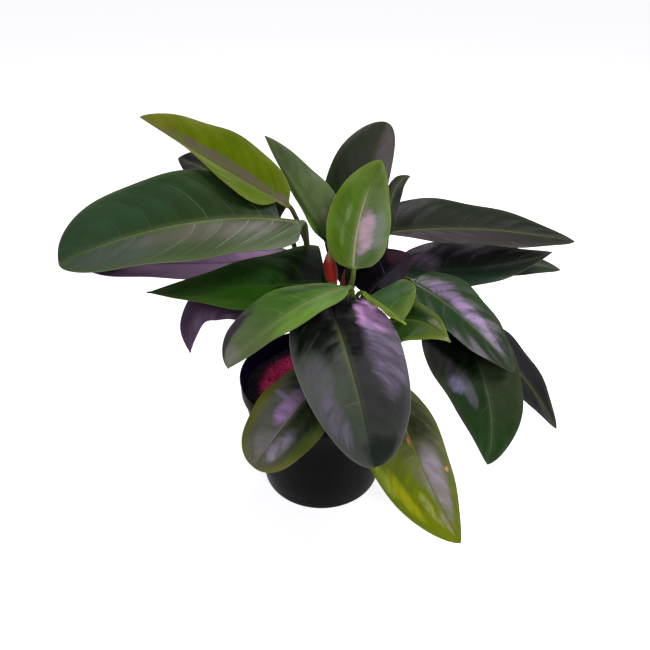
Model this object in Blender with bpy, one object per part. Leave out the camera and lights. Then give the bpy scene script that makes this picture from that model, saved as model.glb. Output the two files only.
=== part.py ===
"""A potted philodendron: nursery pot, soil, short stem, bud sheaths and 23 broad leaves.

Lengths are in millimetres and angles in degrees. They become metres where a mesh is made.
The origin is the centre of the pot's underside, +Z is up and the plant's front is towards -Y.
"""
import math
from typing import NamedTuple

import bpy
import numpy as np

MM = 0.001
SEAT_GAP = 0.35

POT_HEIGHT = 135
RIM_DIAMETER = 170
RIM_BAND = 18
RIM_STEP = 3
FOOT_DIAMETER = 128
POT_WALL = 1.6
POT_FLOOR = 2.2
POT_SIDES = 48
DRAIN_HOLES = 8
DRAIN_DIAMETER = 9
DRAIN_CIRCLE = 94

SOIL_LEVEL = 117
SOIL_BUMP = 1.6
STEM_HOLE_DEPTH = 34

STEM_PLACE = (14, 4)
STEM_TOP = 207
STEM_RADIUS = 13
STEM_TOP_RADIUS = 10
STEM_SIDES = 16

BLADE = 1.0
STALK_RADIUS = 2.7
STALK_RINGS = 7
BLADE_RINGS = 14
WAVE_HEIGHT = 1.5
WAVES = 2.5
EDGE_CURL = 0.12
BLADE_COLUMNS = np.array([-2, -1.5, -1, 0, 1, 1.5, 2])

COLOURS = {
    "dark": (0.030, 0.055, 0.028),
    "green": (0.085, 0.175, 0.045),
    "lime": (0.150, 0.220, 0.020),
    "plum": (0.060, 0.030, 0.060),
    "pot": (0.008, 0.008, 0.010),
    "soil": (0.075, 0.014, 0.022),
    "stem": (0.100, 0.110, 0.040),
    "sheath": (0.420, 0.050, 0.030),
    "scale": (0.110, 0.030, 0.020),
}


class Leaf(NamedTuple):
    """One leaf: its place on the stem, the run of its midrib and the cut of its blade."""

    node: str
    tint: str
    # Angle round the stem and height above the ground of the stalk's root
    root: tuple
    # Foot, middle and point of the midrib
    base: tuple
    crest: tuple
    tip: tuple
    # The way the upper side looks
    face: tuple
    # Width of the blade left and right of the midrib, as seen from the base
    half: tuple
    # How far each half is folded up from the midrib
    fold: tuple = (12, 12)
    twist: float = 0
    # Exponents of each half's outline: a low one gives a full, round end
    heel: tuple = (0.45, 0.45)
    point: tuple = (0.75, 0.75)
    # Stretch of the midrib that each half grows from
    span: tuple = ((0, 1), (0, 1))
    # Share of the stalk's length that runs in line with the midrib
    lead: float = 0.3


LEAVES = (
    Leaf("leaf_left_broad", "dark", (150, 201), (-16, 17, 295), (-118, -6, 305), (-238, -21, 273),
         (-0.1, -0.35, 0.93), (44, 62), fold=(4, 20), heel=(0.38, 0.4), point=(0.5, 0.38),
         span=((0, 1), (0.12, 1)), lead=0.05),
    Leaf("leaf_back_left_lime", "lime", (110, 195), (-29, 21, 310), (-99, 41, 345), (-175, 90, 375),
         (0.1, -0.5, 0.85), (19, 38), fold=(20, 18), twist=20, heel=(0.8, 0.55), point=(3.6, 0.6),
         span=((0.08, 1), (0, 1)), lead=0.05),
    Leaf("leaf_back_left_dark", "dark", (165, 145), (-44, 93, 266), (-108, 131, 299), (-157, 150, 315),
         (0, -0.3, 0.95), (40, 40), heel=(0.2, 0.45)),
    Leaf("leaf_left_under", "plum", (155, 179), (-21, 28, 255), (-121, 14, 254), (-226, 6, 262),
         (0, -0.1, 1), (29, 45), heel=(0.6, 0.6), point=(0.32, 0.32), lead=0.2),
    Leaf("leaf_left_low", "dark", (195, 190), (7, -27, 254), (-78, -30, 253), (-160, -28, 246),
         (0, -0.3, 0.95), (34, 48), heel=(0.4, 0.1), point=(1.1, 1.1)),
    Leaf("leaf_left_drooping", "plum", (185, 166), (-45, -5, 207), (-107, -20, 225), (-123, -46, 191),
         (-0.3, -0.3, 0.9), (24, 28), point=(0.95, 0.95)),
    Leaf("leaf_front_left", "green", (290, 172), (26, -37, 256), (-28, -71, 249), (-80, -96, 209),
         (-0.2, -0.5, 0.8), (17, 29), heel=(0.6, 1), point=(0.85, 0.5), lead=0.12),
    Leaf("leaf_front_large", "dark", (250, 183), (7, -34, 240), (28, -103, 205), (47, -133, 128),
         (0, -0.6, 0.8), (49, 48), heel=(0.34, 0.34), point=(0.45, 0.62)),
    Leaf("leaf_front_low_left", "dark", (262, 147), (7, -43, 171), (-28, -87, 148), (-62, -119, 116),
         (-0.1, -0.5, 0.8), (36, 35), point=(0.45, 0.45)),
    Leaf("leaf_front_low_right", "lime", (310, 140), (67, -47, 155), (92, -110, 111), (127, -156, 57),
         (0.2, -0.7, 0.7), (30, 49), point=(0.8, 0.8)),
    Leaf("leaf_right_drooping", "dark", (2, 150), (125, 7, 204), (159, -53, 155), (159, -96, 96),
         (0.2, -0.6, 0.7), (40, 51), heel=(0.45, 0.3), point=(0.75, 0.85)),
    Leaf("leaf_right_glossy", "dark", (20, 168), (90, 33, 226), (139, -13, 209), (185, -49, 171),
         (0.3, -0.4, 0.85), (38, 32), heel=(0.3, 0.5)),
    Leaf("leaf_young_folded", "green", (330, 201), (39, -41, 252), (55, -62, 252), (74, -76, 241),
         (0.2, -0.5, 0.8), (37, 6), heel=(0.4, 0.5), point=(0.5, 0.7), span=((0.15, 0.92), (0, 1))),
    Leaf("leaf_young_small", "green", (335, 177), (66, -20, 209), (94, -41, 222), (117, -63, 214),
         (0.2, -0.5, 0.8), (20, 38), heel=(0.35, 0.35), point=(1.1, 1.1)),
    Leaf("leaf_right_broad", "dark", (54, 192), (66, 76, 259), (161, 79, 262), (269, 81, 247),
         (0.1, -0.3, 0.95), (46, 27), heel=(0.2, 0.9)),
    Leaf("leaf_right_under", "dark", (50, 162), (83, 77, 222), (160, 75, 219), (252, 93, 229),
         (0.1, -0.3, 0.9), (38, 32), point=(0.9, 0.9)),
    Leaf("leaf_right_back", "dark", (45, 144), (124, 113, 203), (191, 111, 210), (270, 105, 201),
         (0.1, -0.3, 0.9), (28, 28)),
    Leaf("leaf_right_low", "plum", (15, 136), (159, 55, 158), (209, 23, 126), (255, -13, 69),
         (0.3, -0.3, 0.9), (30, 30)),
    Leaf("leaf_back_dark", "dark", (88, 190), (26, 41, 210), (44, 121, 280), (75, 211, 338),
         (0, -0.8, 0.5), (44, 25), heel=(0.8, 0.6), point=(0.65, 0.45)),
    Leaf("leaf_centre_upright", "green", (60, 204), (31, -1, 255), (39, 42, 294), (60, 84, 334),
         (0.1, -0.9, 0.4), (32, 32), heel=(0.5, 0.42)),
    Leaf("leaf_back_pointed", "green", (105, 203), (6, 37, 268), (-22, 79, 298), (-60, 141, 342),
         (0.3, -0.8, 0.5), (27, 36), fold=(60, 5), heel=(0.12, 0.45)),
    Leaf("leaf_back_small", "dark", (35, 179), (67, 51, 265), (75, 88, 299), (93, 108, 309),
         (0.2, -0.6, 0.7), (9, 9)),
    Leaf("leaf_centre_small", "plum", (355, 188), (46, 6, 222), (64, 20, 238), (92, 41, 249),
         (0.2, -0.6, 0.7), (30, 18), heel=(0.4, 0.45), point=(0.65, 0.75)),
)


class Bud(NamedTuple):
    """A pointed sheath that stands on the top of the stem."""

    node: str
    tint: str
    foot: tuple
    point: tuple
    radius: float
    # Share of its height at which it is thickest
    fullest: float


BUDS = (
    Bud("bud_sheath", "sheath", (9, 5), (8, 13, 270), 7.6, 0.6),
    Bud("bud_scale", "scale", (19, 1), (23, 9, 252), 3.2, 0.35),
)


def clear_scene():
    """Start from an empty scene."""
    for item in list(bpy.data.objects):
        bpy.data.objects.remove(item, do_unlink=True)


def make_material(name, tint, roughness):
    """A plain Principled material in one of the plant's colours."""
    material = bpy.data.materials.new(name)
    material.use_nodes = True
    shader = material.node_tree.nodes["Principled BSDF"]
    shader.inputs["Base Color"].default_value = (*COLOURS[tint], 1)
    shader.inputs["Roughness"].default_value = roughness
    shader.inputs["Metallic"].default_value = 0
    return material


def make_object(name, points, faces, tint, roughness, sharp_angle=40):
    """One closed solid from points in millimetres."""
    mesh = bpy.data.meshes.new(name)
    mesh.from_pydata((np.asarray(points, float) * MM).tolist(), [], [tuple(map(int, f)) for f in faces])
    mesh.validate()
    mesh.shade_smooth()
    mesh.set_sharp_from_angle(angle=math.radians(sharp_angle))
    mesh.materials.append(make_material(name, tint, roughness))
    item = bpy.data.objects.new(name, mesh)
    bpy.context.scene.collection.objects.link(item)
    return item


def unit(vector):
    """The vector at length one."""
    return vector / np.linalg.norm(vector)


def smooth_step(share):
    """Ease from 0 to 1."""
    share = min(max(share, 0), 1)
    return share * share * (3 - 2 * share)


def turned(profile, sides):
    """Points and faces of a closed turned solid.

    The profile's stops are (radius, height, centre) from the middle of the underside, round
    the outside, to the middle of the top. A radius of 0 gives a single point.
    """
    points = []
    rings = []
    for radius, height, centre in profile:
        count = sides if radius else 1
        start = len(points)
        rings.append([start + i % count for i in range(sides + 1)])
        for i in range(count):
            angle = 2 * math.pi * i / sides
            x = centre[0] + radius * math.cos(angle)
            y = centre[1] + radius * math.sin(angle)
            points.append((x, y, height(x, y) if callable(height) else height))
    faces = []
    for low, high in zip(rings, rings[1:]):
        for i in range(sides):
            if low[i] != low[i + 1]:
                faces.append((low[i], low[i + 1], high[i + 1]))
            if high[i] != high[i + 1]:
                faces.append((low[i], high[i + 1], high[i]))
    return points, faces


def pot_radius(height):
    """Outer radius of the pot's tapered wall below its rim band."""
    foot = FOOT_DIAMETER / 2
    under_rim = RIM_DIAMETER / 2 - RIM_STEP
    return foot + (under_rim - foot) * height / (POT_HEIGHT - RIM_BAND)


def build_pot():
    """The pot, with its rim band, flat underside and drain holes."""
    axis = (0, 0)
    rim = RIM_DIAMETER / 2
    band_foot = POT_HEIGHT - RIM_BAND
    edge = 0.8
    outside = [(0, 0), (pot_radius(0) - 2 * edge, 0), (pot_radius(0), 2 * edge)]
    outside += [(pot_radius(band_foot), band_foot), (rim - 1.5 * edge, band_foot)]
    outside += [(rim - edge, band_foot + edge), (rim, POT_HEIGHT - edge), (rim - edge / 2, POT_HEIGHT)]
    inner_rim = rim - POT_WALL - edge
    inner_foot = pot_radius(POT_FLOOR) - POT_WALL
    inside = [(inner_rim, POT_HEIGHT), (pot_radius(band_foot) - POT_WALL, band_foot - RIM_STEP)]
    inside += [(inner_foot, POT_FLOOR), (0, POT_FLOOR)]
    profile = [(radius, height, axis) for radius, height in outside + inside]
    pot = make_object("pot", *turned(profile, POT_SIDES), "pot", 0.35)
    cut = pot.modifiers.new("drain holes", "BOOLEAN")
    cut.solver = "EXACT"
    cut.object = drain_cutter()


def drain_cutter():
    """Hidden round bars that cut the drain holes through the pot's floor."""
    sides = 12
    points = []
    faces = []
    for i in range(DRAIN_HOLES):
        angle = 2 * math.pi * (i + 0.5) / DRAIN_HOLES
        place = (DRAIN_CIRCLE / 2 * math.cos(angle), DRAIN_CIRCLE / 2 * math.sin(angle))
        bar = [(0, -POT_FLOOR, place), (DRAIN_DIAMETER / 2, -POT_FLOOR, place)]
        bar += [(DRAIN_DIAMETER / 2, 2 * POT_FLOOR, place), (0, 2 * POT_FLOOR, place)]
        more_points, more_faces = turned(bar, sides)
        faces += [tuple(k + len(points) for k in face) for face in more_faces]
        points += more_points
    cutter = make_object("drain_cutter", points, faces, "pot", 0.35)
    cutter.hide_render = True
    cutter.display_type = "WIRE"
    return cutter


def soil_height(x, y):
    """Height of the soil's surface, heaped a little and lumpy."""
    heap = 2 * math.exp(-((x - STEM_PLACE[0]) ** 2 + (y - STEM_PLACE[1]) ** 2) / 900)
    lumps = math.sin(x / 7.1 + 0.6) * math.sin(y / 6.3 - 0.4) + 0.5 * math.sin(x / 3.9 - y / 4.7)
    return SOIL_LEVEL + heap + SOIL_BUMP * lumps


def build_soil():
    """The soil, which fills the pot and has a plain hole for the stem."""
    clear = POT_WALL + SEAT_GAP
    foot = POT_FLOOR + SEAT_GAP
    below_rim = POT_HEIGHT - RIM_BAND - RIM_STEP
    edge = pot_radius(below_rim) - clear
    profile = [(0, foot, (0, 0)), (pot_radius(foot) - clear, foot, (0, 0)), (edge, below_rim, (0, 0))]
    for radius in (edge - 0.5, 70, 59, 48, 37, 27, 20):
        share = (edge - radius) / (edge - STEM_RADIUS)
        centre = (STEM_PLACE[0] * share, STEM_PLACE[1] * share)
        profile.append((radius, soil_height, centre))
    hole = STEM_RADIUS + SEAT_GAP
    bottom = SOIL_LEVEL - STEM_HOLE_DEPTH
    profile += [(hole, soil_height, STEM_PLACE), (hole, bottom, STEM_PLACE), (0, bottom, STEM_PLACE)]
    make_object("soil", *turned(profile, POT_SIDES), "soil", 0.95)


def stem_radius(height):
    """Radius of the stem, which narrows from the soil to its top."""
    share = (height - SOIL_LEVEL) / (STEM_TOP - SOIL_LEVEL)
    return STEM_RADIUS + (STEM_TOP_RADIUS - STEM_RADIUS) * min(max(share, 0), 1)


def build_stem():
    """The short thick stem, from its foot in the soil to its flat top."""
    foot = SOIL_LEVEL - STEM_HOLE_DEPTH + SEAT_GAP
    profile = [(0, foot), (STEM_RADIUS - 2, foot), (STEM_RADIUS, foot + 4)]
    profile += [(stem_radius(height), height) for height in (SOIL_LEVEL, 147, 177, STEM_TOP - 1)]
    profile += [(STEM_TOP_RADIUS - 1, STEM_TOP), (0, STEM_TOP)]
    stops = [(radius, height, STEM_PLACE) for radius, height in profile]
    make_object("stem", *turned(stops, STEM_SIDES), "stem", 0.6)


def bud_radius(bud, share):
    """Radius of a bud, which swells from a narrow foot and closes to its point."""
    beyond = max(share - bud.fullest, 0) / (1 - bud.fullest)
    return bud.radius * (0.55 + 0.45 * smooth_step(share / bud.fullest)) * (1 - beyond ** 2) ** 0.9


def build_bud(bud):
    """A pointed sheath, lofted from its foot on the stem to its point."""
    sides = 12
    rings = 9
    foot = np.array([*bud.foot, STEM_TOP + SEAT_GAP])
    point = np.array(bud.point, float)
    points = [foot]
    for i in range(rings):
        share = i / rings
        centre = foot + (point - foot) * np.array([share ** 2, share ** 2, share])
        radius = bud_radius(bud, share)
        for k in range(sides):
            angle = 2 * math.pi * k / sides
            points.append(centre + radius * np.array([math.cos(angle), math.sin(angle), 0]))
    points.append(point)
    faces = []
    last = len(points) - 1
    for k in range(sides):
        after = (k + 1) % sides
        faces.append((0, 1 + after, 1 + k))
        faces.append((last, last - sides + k, last - sides + after))
        for i in range(rings - 1):
            low = 1 + i * sides
            faces.append((low + k, low + after, low + sides + after))
            faces.append((low + k, low + sides + after, low + sides + k))
    make_object(bud.node, points, faces, bud.tint, 0.4)


def blade_stations(leaf, count):
    """Share, place, direction and upward side at stops along the midrib."""
    base, crest, tip = (np.array(place, float) for place in (leaf.base, leaf.crest, leaf.tip))
    bend = 2 * crest - (base + tip) / 2
    stations = []
    for i in range(count):
        share = (1 - math.cos(math.pi * i / (count - 1))) / 2
        rest = 1 - share
        place = rest ** 2 * base + 2 * share * rest * bend + share ** 2 * tip
        along = unit(rest * (bend - base) + share * (tip - bend))
        up = unit(np.array(leaf.face) - along * (along @ np.array(leaf.face)))
        turn = math.radians(leaf.twist * (share - 0.5))
        up = up * math.cos(turn) + np.cross(along, up) * math.sin(turn)
        stations.append((share, place, along, up))
    return stations


def stalk_stations(leaf, count, foot_of_blade):
    """The same along the stalk, from its root on the stem, with shares from -1 to 0."""
    _, base, blade_along, up = foot_of_blade
    angle = math.radians(leaf.root[0])
    outward = np.array([math.cos(angle), math.sin(angle), 0])
    height = leaf.root[1]
    root = np.array([*STEM_PLACE, height]) + outward * (stem_radius(height) + SEAT_GAP)
    reach = np.linalg.norm(base - root)
    rising = unit(outward * 0.55 + np.array([0, 0, 0.45]))
    leave = root + rising * reach * 0.35
    arrive = base - blade_along * reach * leaf.lead
    stations = []
    for i in reversed(range(count)):
        share = i / count
        rest = 1 - share
        place = rest ** 3 * root + 3 * rest ** 2 * share * leave
        place = place + 3 * rest * share ** 2 * arrive + share ** 3 * base
        along = rest ** 2 * (leave - root) + 2 * rest * share * (arrive - leave)
        along = unit(along + share ** 2 * (base - arrive)) if i else outward
        up = unit(up - along * (up @ along))
        stations.append((share - 1, place, along, up))
    return stations[::-1]


def outline(leaf, share):
    """Width of the blade's left and right half, as shares of their greatest widths."""
    cuts = []
    for heel, point, (start, stop) in zip(leaf.heel, leaf.point, leaf.span):
        local = min(max((share - start) / (stop - start), 0), 1)
        peak = heel / (heel + point)
        widest = peak ** heel * (1 - peak) ** point
        cuts.append(local ** heel * (1 - local) ** point / widest)
    return cuts


def rib_radius(leaf, share):
    """Radius of the stalk, which runs on under the blade as its midrib."""
    radius = STALK_RADIUS * min(1, 0.45 + sum(leaf.half) / 160)
    if share <= 0:
        return radius * (1 - 0.22 * share)
    return radius * ((1 - share) ** 0.8 + 0.13)


def cross_section(leaf, share):
    """Upper and lower row of (sideways, height) points across the leaf."""
    rib = rib_radius(leaf, share)
    columns = BLADE_COLUMNS
    angles = np.linspace(math.pi - 0.28, 0.28, len(columns))
    round_top = np.stack([rib * np.cos(angles), rib * np.sin(angles)], axis=1)
    round_under = round_top * (1, -1)
    if share <= 0:
        return round_top, round_under
    cut = np.where(columns < 0, *outline(leaf, share))
    reach = np.maximum(np.where(columns < 0, *leaf.half) * cut, max(1.02 * rib, 0.9))
    shoulder = np.minimum(1.7 * rib, 0.6 * reach)
    inner = np.minimum(np.abs(columns), 1) * shoulder
    outer = np.maximum(np.abs(columns) - 1, 0) * (reach - shoulder)
    sideways = inner + outer
    edge = sideways / reach
    fold = np.radians(np.where(columns < 0, *leaf.fold))
    wave = WAVE_HEIGHT * edge ** 2 * math.sin(2 * math.pi * WAVES * share) * np.minimum(1, 1.2 * cut)
    lift = sideways * np.sin(fold) - EDGE_CURL * reach * edge ** 3 + wave * np.sign(columns)
    across = sideways * np.cos(fold) * np.sign(columns)
    dome = rib * np.clip(1 - (sideways / shoulder) ** 2, 0, 1)
    top = np.stack([across, lift + 0.25 * dome], axis=1)
    under = np.stack([across, lift - BLADE - dome], axis=1)
    spread = smooth_step(share / 0.04)
    return round_top + (top - round_top) * spread, round_under + (under - round_under) * spread


def leaf_faces(rings, columns):
    """Triangles of the closed leaf, split alike on its upper and lower side."""
    ring = 2 * columns
    faces = []
    for i in range(rings - 1):
        for j in range(columns - 1):
            here, ahead = i * ring + j, (i + 1) * ring + j
            if j < columns // 2:
                corners = ((here, here + 1, ahead + 1), (here, ahead + 1, ahead))
            else:
                corners = ((here, here + 1, ahead), (here + 1, ahead + 1, ahead))
            faces += corners
            faces += [(a + columns, c + columns, b + columns) for a, b, c in corners]
        left, left_ahead = i * ring, (i + 1) * ring
        right, right_ahead = left + columns - 1, left_ahead + columns - 1
        faces += [(left, left_ahead, left_ahead + columns), (left, left_ahead + columns, left + columns)]
        faces.append((right, right_ahead + columns, right_ahead))
        faces.append((right, right + columns, right_ahead + columns))
    end = (rings - 1) * ring
    for j in range(columns - 1):
        faces += [(j, j + columns, j + columns + 1), (j, j + columns + 1, j + 1)]
        near, far = end + j, end + j + columns
        faces += [(near, near + 1, far + 1), (near, far + 1, far)]
    return faces


def build_leaf(leaf):
    """One leaf, its stalk and blade lofted as a single closed solid."""
    blade = blade_stations(leaf, BLADE_RINGS)
    stations = stalk_stations(leaf, STALK_RINGS, blade[0]) + blade
    points = []
    for share, place, along, up in stations:
        side = np.cross(along, up)
        for row in cross_section(leaf, share):
            points += [place + side * across + up * height for across, height in row]
    faces = leaf_faces(len(stations), len(BLADE_COLUMNS))
    make_object(leaf.node, points, faces, leaf.tint, 0.35)


def main():
    """Build every piece of the plant."""
    clear_scene()
    build_pot()
    build_soil()
    build_stem()
    for bud in BUDS:
        build_bud(bud)
    for leaf in LEAVES:
        build_leaf(leaf)


main()
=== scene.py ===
"""The looks of the potted philodendron: glossy veined leaves, a black pot and reddish soil.

The leaf table and the leaf's formulas repeat the construction's, in millimetres. Here they
are drawn with a thinner blade, many more stops, a fine relief and a finish for every leaf.
"""
import math
from typing import NamedTuple

import bpy
import numpy as np
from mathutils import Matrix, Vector


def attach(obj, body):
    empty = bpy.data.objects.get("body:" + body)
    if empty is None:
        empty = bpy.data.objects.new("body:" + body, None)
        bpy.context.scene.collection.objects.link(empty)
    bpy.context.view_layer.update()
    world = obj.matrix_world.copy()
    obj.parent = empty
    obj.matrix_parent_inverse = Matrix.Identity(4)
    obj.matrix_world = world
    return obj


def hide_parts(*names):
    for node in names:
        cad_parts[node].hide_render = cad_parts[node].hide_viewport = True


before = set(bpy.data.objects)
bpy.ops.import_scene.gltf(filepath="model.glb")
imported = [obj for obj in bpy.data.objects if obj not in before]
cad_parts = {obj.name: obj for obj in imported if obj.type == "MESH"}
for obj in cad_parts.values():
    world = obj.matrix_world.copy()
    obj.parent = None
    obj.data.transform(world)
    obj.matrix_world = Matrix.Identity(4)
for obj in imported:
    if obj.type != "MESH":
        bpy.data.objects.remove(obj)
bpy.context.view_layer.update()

MM = 0.001
SEAT_GAP = 0.35

# Sizes of the pot, soil and stem, as in the construction
POT_HEIGHT = 135
RIM_DIAMETER = 170
RIM_BAND = 18
RIM_STEP = 3
FOOT_DIAMETER = 128
POT_WALL = 1.6
POT_FLOOR = 2.2
DRAIN_HOLES = 8
DRAIN_DIAMETER = 9
DRAIN_CIRCLE = 94
SOIL_LEVEL = 117
SOIL_BUMP = 1.6
SOIL_HEAP = 2
HEAP_SPREAD = 30
STEM_HOLE_DEPTH = 34
STEM_PLACE = (14, 4)
STEM_TOP = 207
STEM_RADIUS = 13
STEM_TOP_RADIUS = 10

# The pot's finer profile, as steps sideways and up or down from what each is named for
POT_SIDES = 160
DRAIN_SIDES = 24
FOOT_EDGE = ((2.2, 0), (1.2, 0.15), (0.5, 0.6), (0.1, 1.4))
WALL_LEVELS = (3, 30, 60, 90)
WALL_BELOW_BAND = 0.8
BAND_CORNER = (0.3, 0.1)
ABOVE_BAND_FOOT = ((1.6, 0), (1.0, 0.3), (0.8, 1.0))
BELOW_LIP = (0.7, 3.4)
LIP_RADIUS = 1.15
LIP_STEPS = 8
INSIDE_LIP = ((0, 0.4), (0.2, 1.2), (0.3, 4))
INSIDE_BAND_FOOT = (0.6, 1)
INNER_FACE = 2.2

# The soil's fine surface, the dark ring of painted shade by the pot's wall and the loose crumbs
SOIL_RINGS = 40
SOIL_EDGE = 0.5
FINE_LUMP = 0.5
WALL_SHADE_RING = (56, 70)
CRUMB_DENSITY = 230000
CRUMB_SIZE = 1.6
SMALLEST_CRUMB = 0.5
LARGEST_CRUMB = 2.3
CRUMB_REACH = 76
CRUMB_CLEARANCE = 17.5
CRUMB_RINGS = 12
CRUMB_SIDES = 48
CRUMB_SINK = 0.3

# The stem's leaf scars and rounded top
STEM_SIDES = 64
STEM_RINGS = 180
SCAR_SPACING = 9.5
SCAR_DEPTH = 0.6
SCAR_WIDTH = 1.6
STEM_CROWN = 2.5

# The groove where a bud's wrap ends: its lean round the bud, width in radians and depth
BUD_SIDES = 64
BUD_RINGS = 48
WRAP_LEAN = 1.2
WRAP_WIDTH = 0.22
WRAP_DEPTH = 0.05

# The leaf's cross section
BLADE = 0.8
STALK_RINGS = 26
BLADE_RINGS = 150
WAVE_HEIGHT = 1.5
WAVES = 2.5
EDGE_CURL = 0.12
RIB_STEPS = 5
BLADE_STEPS = 16

# The stalk. A narrow blade has a thinner one: the least share of the full radius, and the
# width of blade that would add a whole radius to it. It swells towards its root
STALK_RADIUS = 2.7
LEAST_STALK = 0.45
WIDTH_PER_RADIUS = 160
ROOT_SWELL = 0.22
# Angle in radians between a stalk's sides and the ends of its upper and lower arcs
SEAM_ANGLE = 0.28
# How it leaves the stem: outwards and upwards, for a share of its length
LEAVE_OUTWARDS = 0.55
LEAVE_UPWARDS = 0.45
LEAVE_LENGTH = 0.35

# The midrib that the stalk runs on into, in radii of the stalk or of the midrib itself
RIB_TAPER = 0.8
RIB_END = 0.13
RIB_SHOULDER = 1.7
RIB_RISE = 0.25
CHANNEL_DEPTH = 0.45
CHANNEL_WIDTH = 0.9
# Share of the midrib's length over which the round stalk spreads into the blade
BLADE_START = 0.04

# Veins that leave the midrib on each side, and how far they lean towards the tip
VEIN_SPACING = 26
VEIN_LEAN = 0.24
VEIN_BEND = 1.8
VEIN_WANDER = 0.10
VEIN_STAGGER = 0.25
VEIN_GROOVE = 0.11
VEIN_DEPTH = 0.10
# Width of blade from which the relief has its full height
FULL_RELIEF_WIDTH = 80

# The photograph's view, taken from in front and above
PICTURE = 650
LENS_PIXELS = 650
VIEW_DISTANCE = 650
VIEW_ELEVATION = 32
VIEW_TARGET = (4, 0, 193)
SENSOR = 36

# The studio, and the lavender cast that its light leaves on gloss
FLOOR_REACH = 9000
FLOOR_DROP = 0.2
FLOOR_GLOW = 0.92
AIR_GLOW = 0.18
LIT_PLACE = (0, 0, 200)
LEAF_SHEEN = (0.92, 0.76, 1.0, 1)
PLASTIC_SHEEN = (0.92, 0.88, 1.0, 1)

# Name, place, side, power and colour of each softbox
SOFTBOXES = (
    ("right_softbox", (950, -150, 1500), 620, 20, (1.0, 0.90, 1.0)),
    ("back_softbox", (80, 880, 1500), 420, 9, (1.0, 0.86, 1.0)),
    ("front_softbox", (450, -1700, 1500), 700, 9, (1.0, 0.96, 1.0)),
)


class Leaf(NamedTuple):
    """One leaf: its place on the stem, the run of its midrib and the cut of its blade."""

    node: str
    # Angle round the stem and height above the ground of the stalk's root
    root: tuple
    # Foot, middle and point of the midrib
    base: tuple
    crest: tuple
    tip: tuple
    # The way the upper side looks
    face: tuple
    # Width of the blade left and right of the midrib, as seen from the base
    half: tuple
    # Degrees that each half is folded up from the midrib
    fold: tuple = (12, 12)
    # Degrees that the blade turns about its midrib, from the base to the tip
    twist: float = 0
    # Exponents of each half's outline: a low one gives a full, round end
    heel: tuple = (0.45, 0.45)
    point: tuple = (0.75, 0.75)
    # Stretch of the midrib that each half grows from
    span: tuple = ((0, 1), (0, 1))
    # Share of the stalk's length that runs in line with the midrib
    lead: float = 0.3


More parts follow.
